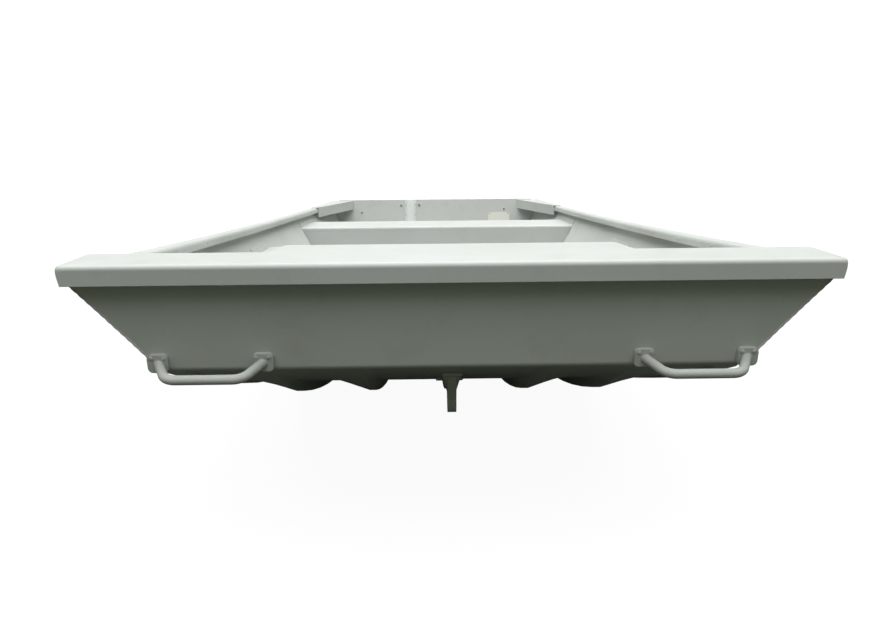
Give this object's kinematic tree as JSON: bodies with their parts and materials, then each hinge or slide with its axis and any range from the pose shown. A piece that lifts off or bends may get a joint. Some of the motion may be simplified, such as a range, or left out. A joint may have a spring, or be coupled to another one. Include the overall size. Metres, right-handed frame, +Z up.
{
  "type": "jon boat",
  "caption": "Open flat-bottomed aluminium jon boat with a square raked bow, short bow deck, full-width bench seats, round-topped gunwales, bow grab handles and a raked transom.",
  "frame": {"origin": "middle of the boat's outline seen from above, on the floor under the strakes", "axes": "+Y aft towards the transom, -Y at the bow, +X port, +Z up"},
  "size_m": [1.3582, 3.5944, 0.515],
  "materials": {
    "hull_paint": "satin light grey paint",
    "cast_metal": "satin grey paint on castings",
    "label_metal": "bare plate in a neutral ivory",
    "drain_metal": "mill finish"
  },
  "bodies": {
    "root": {"bench_aft": "hull_paint", "bench_front": "hull_paint", "bench_middle": "hull_paint", "bow_deck": "hull_paint", "bow_eye": "cast_metal", "bow_handle_port": "cast_metal", "bow_handle_starboard": "cast_metal", "bow_plate": "hull_paint", "capacity_plate": "label_metal", "centre_keel": "hull_paint", "chine_port": "hull_paint", "chine_starboard": "hull_paint", "drain_tube": "drain_metal", "floor_rib_1": "hull_paint", "floor_rib_2": "hull_paint", "floor_rib_3": "hull_paint", "gunwale_port": "hull_paint", "gunwale_starboard": "hull_paint", "hull_bottom": "hull_paint", "hull_side_port": "hull_paint", "hull_side_starboard": "hull_paint", "motor_pad": "hull_paint", "side_rail_port": "hull_paint", "side_rail_starboard": "hull_paint", "side_rib_1_port": "hull_paint", "side_rib_1_starboard": "hull_paint", "side_rib_2_port": "hull_paint", "side_rib_2_starboard": "hull_paint", "side_rib_3_port": "hull_paint", "side_rib_3_starboard": "hull_paint", "transom_knee_port": "hull_paint", "transom_knee_starboard": "hull_paint", "transom_panel": "hull_paint", "transom_skin": "hull_paint", "transom_stiffener": "hull_paint"}
  },
  "joints": []
}
